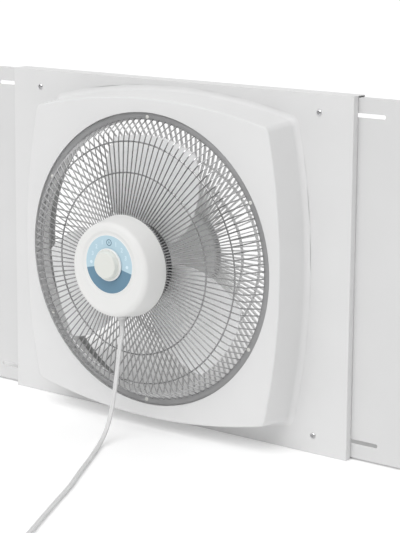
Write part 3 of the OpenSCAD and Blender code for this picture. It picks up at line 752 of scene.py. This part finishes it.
def grilleRib(s):
    bm = bmesh.new()
    bm.faces.new([bm.verts.new((r * mm, -s["thick"] / 2 * mm, f * mm)) for r, f in s["line"]])
    mesh = bpy.data.meshes.new("rib")
    bm.to_mesh(mesh)
    bm.free()
    rib = placed("rib", mesh)
    pick(rib)
    bpy.ops.object.mode_set(mode="EDIT")
    bpy.ops.mesh.select_all(action="SELECT")
    bpy.ops.mesh.extrude_region_move(TRANSFORM_OT_translate={"value": (0, s["thick"] * mm, 0)})
    bpy.ops.mesh.select_all(action="SELECT")
    bpy.ops.mesh.normals_make_consistent(inside=False)
    bpy.ops.object.mode_set(mode="OBJECT")
    modify(rib, "edges", "BEVEL", width=s["taper"] * mm, segments=1, limit_method="ANGLE",
           angle_limit=math.radians(s["taperAngle"]))
    return rib


def makeRearGuard(s):
    parts = [allRound(grilleRib(s), s["ribs"], math.radians(s["start"] + 180 / s["ribs"]))]
    for r in s["rings"]:
        section = flatSection(r - s["thick"] / 2, r + s["thick"] / 2, *s["ringFaces"], s["taper"])
        parts.append(turned("rearRing", section, s["steps"]))
    parts.append(turned("rearPlate", s["plate"], s["plateSteps"]))
    parts.append(turned("rearRim", flatSection(*s["rim"]), s["steps"]))
    rear = joined("rearGuard", parts)
    rear.data.transform(fanPlace)
    smooth(rear, s["smooth"])
    settle(rear, "grille_white", "fan_frame", "rear_guard")


makeRearGuard(rearGuard)
print("rear guard made")

# ---- pieces whose CAD shape is right and only needs its folds rounded and its edges eased

bezelCorner = {"width": 0.007, "segments": 4, "reach": 0.22, "near": 0.0035}
panelFold = {"width": 0.0016, "segments": 3, "halfWide": 0.343, "high": 0.569, "near": 0.0001}


def onBezelCorner(p):
    across, up = abs(p.x), abs(p.z - axisZ)
    return across > bezelCorner["reach"] and abs(across - up) < bezelCorner["near"]


def onPanelFold(p):
    toEdge = min(abs(p.z), abs(p.z - panelFold["high"]), abs(abs(p.x) - panelFold["halfWide"]))
    return abs(p.y - faceY) < panelFold["near"] and toEdge < panelFold["near"]


folds = {
    "bezel": (onBezelCorner, bezelCorner["width"], bezelCorner["segments"]),
    "main_panel": (onPanelFold, panelFold["width"], panelFold["segments"]),
}
# piece, slot, body, node, width of the eased edges (0 for none), their segments, least angle in degrees
easedPieces = [
    ("panel", "sheet_white", "fan_frame", "main_panel", 0.0004, 2, 40),
    ("bezelBox", "bezel_white", "fan_frame", "bezel", 0, 1, 50),
    ("shroudRing", "shroud_gray", "fan_frame", "shroud", 0.0005, 2, 40),
    ("motorDrum", "motor_black", "fan_frame", "motor_housing", 0.0004, 2, 30),
    ("hubCover", "hub_white", "fan_frame", "hub_cover", 0.0006, 2, 24),
    ("dial", "dial_blue", "fan_frame", "dial_plate", 0.00015, 2, 40),
    ("knobGrip", "knob_ivory", "knob", "control_knob", 0.0005, 3, 15),
    ("blades", "blade_gray", "fan_rotor", "fan_blade", 0.0007, 3, 40),
    ("leftSide", "side_white", "left_slide", "left_side_panel", 0.0005, 2, 40),
    ("rightSide", "side_white", "right_slide", "right_side_panel", 0.0005, 2, 40),
    ("spacers", "spacer_white", "fan_frame", "corner_spacers", 0.0004, 2, 40),
    ("nuts", "screw_steel", "fan_frame", "corner_nuts", 0.0003, 2, 40),
]
for name, slot, body, node, width, segments, degrees in easedPieces:
    settle(softCopy(node, name, width, segments, degrees, folds.get(node)), slot, body, node)
print("eased pieces made:", len(easedPieces))

# ---- screws and studs: a turned head and thread, and a cross cut into the head where it has one

fixings = {
    "guardScrews": {
        "profile": [(0, 65), (1.2, 64.95), (2.2, 64.65), (2.9, 64.1), (3.2, 63.4), (3.2, 63.1), (1.7, 63.1),
                    (1.7, 62)],
        "thread": {"crest": 1.7, "root": 1.4, "start": 61.5, "end": 52, "pitch": 1.0},
        "cross": {"top": 65, "reach": 3.4, "wide": 0.8, "deep": 0.9},
        "around": {"count": 6, "start": 90, "r": 232},
        "slot": "screw_ivory",
        "node": "guard_screws",
    },
    "rearScrews": {
        "profile": [(0, -4.4), (1.2, -4.4), (2.3, -4.2), (3.0, -3.6), (3.2, -2.8), (1.7, -2.8), (1.7, -1)],
        "thread": {"crest": 1.7, "root": 1.4, "start": -0.5, "end": 5.5, "pitch": 1.0},
        "cross": {"top": -4.4, "reach": 3.4, "wide": 0.8, "deep": 0.9},
        "around": {"count": 4, "start": 45, "r": 261.2},
        "slot": "screw_steel",
        "node": "rear_screws",
    },
    "cornerScrews": {
        "profile": [(0, 2.4), (1.8, 2.38), (3.2, 2.1), (4.3, 1.4), (4.9, 0.5), (5, 0), (2.5, 0), (2.5, -0.6)],
        "thread": {"crest": 2.5, "root": 2.15, "start": -1, "end": -24, "pitch": 0.8},
        "cross": {"top": 2.4, "reach": 5.4, "wide": 1.15, "deep": 1.6},
        "at": [(-282, 255), (282, 255), (282, -255)],
        "slot": "screw_steel",
        "node": "corner_screws",
    },
    "weldStud": {
        "profile": [(0, -1.2), (2.5, -1.2), (2.5, -3)],
        "thread": {"crest": 2.5, "root": 2.15, "start": -3.5, "end": -24, "pitch": 0.8},
        "at": [(-282, -255)],
        "slot": "screw_steel",
        "node": "weld_stud",
    },
}
# crestTo and rootFrom are shares of a thread's pitch
fixingMesh = {"steps": 24, "crestTo": 0.3, "rootFrom": 0.6, "smooth": 35}


def threadProfile(s):
    count = int(abs(s["end"] - s["start"]) / s["pitch"])
    step = (s["end"] - s["start"]) / count
    out = []
    for k in range(count):
        at = s["start"] + step * k
        out += [(s["crest"], at), (s["crest"], at + fixingMesh["crestTo"] * step),
                (s["root"], at + fixingMesh["rootFrom"] * step)]
    return out + [(s["root"], s["end"]), (0, s["end"])]


def cutCross(obj, s):
    for across, along in ((s["reach"], s["wide"]), (s["wide"], s["reach"])):
        calm()
        bpy.ops.mesh.primitive_cube_add(size=mm, location=(0, 0, s["top"] * mm))
        bar = bpy.context.object
        bar.scale = (across, along, 2 * s["deep"])
        bpy.ops.object.transform_apply(location=True, scale=True)
        modify(obj, "cross", "BOOLEAN", object=bar, operation="DIFFERENCE", solver="EXACT")
        bpy.data.objects.remove(bar)


def makeFixing(name, s):
    obj = turned(name, s["profile"] + threadProfile(s["thread"]), fixingMesh["steps"])
    if "cross" in s:
        cutCross(obj, s["cross"])
    if "around" in s:
        obj.data.transform(Matrix.Translation((s["around"]["r"] * mm, 0, 0)))
        obj = allRound(obj, s["around"]["count"], math.radians(s["around"]["start"]))
    else:
        obj = repeated(obj, [Matrix.Translation((x * mm, z * mm, 0)) for x, z in s["at"]])
    obj.name = name
    obj.data.transform(fanPlace)
    smooth(obj, fixingMesh["smooth"])
    settle(obj, s["slot"], "fan_frame", s["node"])


for name, s in fixings.items():
    makeFixing(name, s)
print("fixings made:", len(fixings))

# ---- strain relief: a ribbed, tapered boot round the cord, with its neck in the hub cover's wall

boot = {
    "foot": 189.5,
    "ease": 0.4,
    "ribs": 5,
    "ribsFrom": 190.6,
    "ribPitch": 2.1,
    "rib": [(0, 0), (0.1, 0.9), (-0.7, 1.2), (-0.6, 1.8)],  # outwards and upwards from where a rib starts
    "radii": (4.4, 6.6),
    "head": [(7.1, 201.5), (7.1, 203.1), (6.2, 203.1), (6.2, 209.5), (0, 209.5)],
    "steps": 40,
    "smooth": 40,
}


def bootProfile(s):
    low, high = s["radii"]
    out = [(0, s["foot"]), (low - s["ease"], s["foot"]), (low, s["foot"] + s["ease"])]
    for k in range(s["ribs"]):
        r = low + (high - low) * (k + 0.5) / s["ribs"]
        z = s["ribsFrom"] + s["ribPitch"] * k
        out += [(r + a, z + b) for a, b in s["rib"]]
    return out + s["head"]


relief = turned("strainBoot", bootProfile(boot), boot["steps"])
relief.data.transform(Matrix.Translation((0, faceY - cordSet["ahead"], 0)))
smooth(relief, boot["smooth"])
settle(relief, "cord_white", "fan_frame", "strain_relief")
print("strain relief made")

# ---- windings: strands of wire on each side of the stator, bound in a ring

windingSet = {
    "r": 47,
    "half": 7.6,
    "middles": (89.1, 110.1),
    "thick": 2.6,
    "strands": 6,
    "shoulder": 0.9,    # a strand's shoulder: its share of half the strand, and how far it drops
    "drop": 0.45,
    "steps": 96,
    "smooth": 60,
}


def windingProfile(s, middle):
    wide = s["half"] / s["strands"] * s["shoulder"]
    high = s["thick"] / 2
    out = []
    for side in (1, -1):
        for k in range(s["strands"]):
            x = s["r"] + side * s["half"] * (1 - 2 * (k + 0.5) / s["strands"])
            out += [(x + side * wide, middle + side * (high - s["drop"])), (x, middle + side * high),
                    (x - side * wide, middle + side * (high - s["drop"]))]
    return out + out[:1]


windings = joined("windingRings", [turned("winding", windingProfile(windingSet, f), windingSet["steps"])
                                   for f in windingSet["middles"]])
windings.data.transform(fanPlace)
smooth(windings, windingSet["smooth"])
settle(windings, "copper_wire", "fan_frame", "windings")
print("windings made")

# ---- dial marks: plain numbers for the speeds each way, dots beside the knob, and an off sign at the top

marks = {
    "front": 159.5,
    "proud": 0.08,
    "r": 36,
    "numberSize": 9.5,
    "numbers": [("1", 22.5), ("2", 45), ("3", 67.5)],
    "bold": 0.0001,
    "dotAt": 90,
    "dotRadius": 2.6,
    "dotSteps": 24,
    "signUp": 35,
    "signOuter": 5.3,
    "signLine": 1.25,
    "signSize": 5,
    "signSteps": 40,
}


def onDial(obj, x, up):
    # from a drawing in the xy plane to the dial's front
    place = Matrix.Translation((x * mm, faceY - marks["front"] * mm, axisZ + dial["middleUp"] + up * mm))
    obj.data.transform(place @ Matrix.Rotation(math.pi / 2, 4, "X"))
    return obj


def printed(name, text, size, s):
    calm()
    bpy.ops.object.text_add(location=(0, 0, 0))
    obj = bpy.context.object
    obj.name = name
    obj.data.body = text
    obj.data.size = size * mm
    obj.data.align_x = "CENTER"
    obj.data.align_y = "CENTER"
    obj.data.extrude = s["proud"] / 2 * mm
    obj.data.offset = s["bold"]
    bpy.ops.object.convert(target="MESH")
    obj.data.transform(Matrix.Translation((0, 0, s["proud"] / 2 * mm)))
    return obj


def disc(name, inner, outer, steps, s):
    return turned(name, [(inner, 0), (outer, 0), (outer, s["proud"]), (inner, s["proud"])]
                  + ([(inner, 0)] if inner else []), steps)


def makeDialMarks(s):
    pale = []
    for side in (-1, 1):
        for number, degrees in s["numbers"]:
            a = math.radians(degrees)
            one = printed("number", number, s["numberSize"], s)
            pale.append(onDial(one, side * s["r"] * math.sin(a), s["r"] * math.cos(a)))
        a = math.radians(s["dotAt"])
        dot = disc("dot", 0, s["dotRadius"], s["dotSteps"], s)
        pale.append(onDial(dot, side * s["r"] * math.sin(a), s["r"] * math.cos(a)))
    settle(joined("dialNumbers", pale), "dial_blue", "fan_frame", finish="printPale")
    sign = disc("signRing", s["signOuter"] - s["signLine"], s["signOuter"], s["signSteps"], s)
    zero = printed("signZero", "0", s["signSize"], s)
    dark = [onDial(sign, 0, s["signUp"]), onDial(zero, 0, s["signUp"])]
    settle(joined("offSign", dark), "dial_blue", "fan_frame", finish="printDark")


makeDialMarks(marks)
print("dial marks made")
